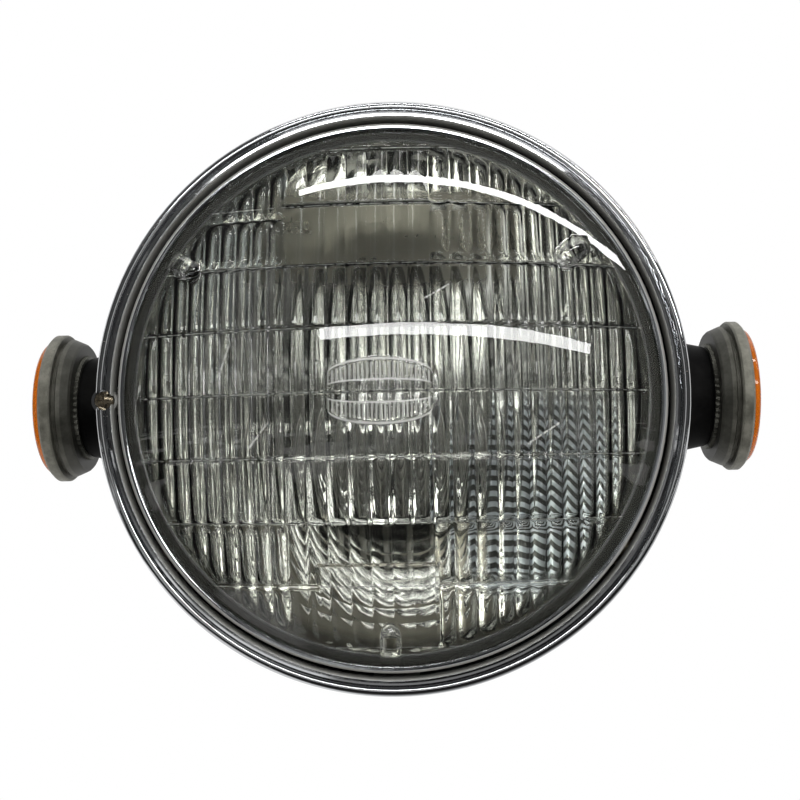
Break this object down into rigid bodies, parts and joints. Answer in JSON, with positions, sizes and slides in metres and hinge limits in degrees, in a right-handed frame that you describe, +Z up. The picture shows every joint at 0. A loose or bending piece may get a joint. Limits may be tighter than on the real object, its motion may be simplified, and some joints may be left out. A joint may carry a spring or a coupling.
{
  "type": "motorcycle headlight",
  "caption": "Round motorcycle headlight: chrome rim, fluted sealed beam that swings for aim on two pivots and a side screw, black case, and amber side reflectors.",
  "frame": {"origin": "On the axis of the two side bolts, midway between them.", "axes": "+Z up, the front of the headlight looks along -Y, +X to the right of someone facing the glass."},
  "size_m": [0.234, 0.1319, 0.18],
  "materials": {
    "headlight_case": "gloss black paint",
    "rim": "worn chrome",
    "retaining_ring": "chrome",
    "mounting_ring": "zinc plate",
    "ring_screws": "zinc plate",
    "lens_glass": "clear fluted glass",
    "reflector_bowl": "silvered",
    "filament_shield": "bright",
    "main_filament": "drawn wire",
    "dip_filament": "drawn wire",
    "filament_posts": "drawn wire",
    "terminal_blades": "tinned brass",
    "top_pivot_screw": "zinc plate",
    "bottom_pivot_screw": "zinc plate",
    "pivot_nuts": "zinc plate",
    "adjuster_screw": "rusted plating",
    "adjuster_spring": "zinc plate",
    "rim_screws": "zinc plate",
    "rim_clip_nuts": "zinc plate",
    "wiring_grommet": "moulded rubber",
    "left_collar": "satin black",
    "left_serrated_ring": "dull",
    "left_reflector_base": "dull, oxidised",
    "left_lens_gasket": "foam rubber",
    "left_amber_lens": "amber reflex plastic",
    "left_mount_bolt": "zinc plate",
    "left_flat_washer": "zinc plate",
    "left_spring_washer": "zinc plate",
    "left_mount_nut": "zinc plate",
    "right_collar": "satin black",
    "right_serrated_ring": "dull",
    "right_reflector_base": "dull, oxidised",
    "right_lens_gasket": "foam rubber",
    "right_amber_lens": "amber reflex plastic",
    "right_mount_bolt": "zinc plate",
    "right_flat_washer": "zinc plate",
    "right_spring_washer": "zinc plate",
    "right_mount_nut": "zinc plate"
  },
  "bodies": {
    "housing": {"headlight_case": "headlight_case", "rim": "rim", "top_pivot_screw": "top_pivot_screw", "bottom_pivot_screw": "bottom_pivot_screw", "adjuster_spring": "adjuster_spring", "rim_screws": "rim_screws", "rim_clip_nuts": "rim_clip_nuts", "wiring_grommet": "wiring_grommet", "left_collar": "left_collar", "left_serrated_ring": "left_serrated_ring", "left_reflector_base": "left_reflector_base", "left_lens_gasket": "left_lens_gasket", "left_amber_lens": "left_amber_lens", "left_mount_bolt": "left_mount_bolt", "left_flat_washer": "left_flat_washer", "left_spring_washer": "left_spring_washer", "left_mount_nut": "left_mount_nut", "right_collar": "right_collar", "right_serrated_ring": "right_serrated_ring", "right_reflector_base": "right_reflector_base", "right_lens_gasket": "right_lens_gasket", "right_amber_lens": "right_amber_lens", "right_mount_bolt": "right_mount_bolt", "right_flat_washer": "right_flat_washer", "right_spring_washer": "right_spring_washer", "right_mount_nut": "right_mount_nut"},
    "beam_unit": {"retaining_ring": "retaining_ring", "mounting_ring": "mounting_ring", "ring_screws": "ring_screws", "lens_glass": "lens_glass", "reflector_bowl": "reflector_bowl", "filament_shield": "filament_shield", "main_filament": "main_filament", "dip_filament": "dip_filament", "filament_posts": "filament_posts", "terminal_blades": "terminal_blades", "pivot_nuts": "pivot_nuts"},
    "adjuster": {"adjuster_screw": "adjuster_screw"}
  },
  "joints": [
    {"name": "beam_aim", "type": "hinge", "parent": "housing", "child": "beam_unit", "pos_m": [0, -0.028, 0], "axis": [0, 0, 1], "range_deg": [-1.75, 1.75], "deforming": ["adjuster_spring"]},
    {"name": "adjuster_turn", "type": "hinge", "parent": "housing", "child": "adjuster", "pos_m": [-0.0874, -0.0374, 0], "axis": [0, 1, 0], "range_deg": [-1924, 1924]}
  ],
  "couplings": [
    {"joint": "adjuster_turn", "follows": "beam_aim", "ratio": 1098.3}
  ]
}
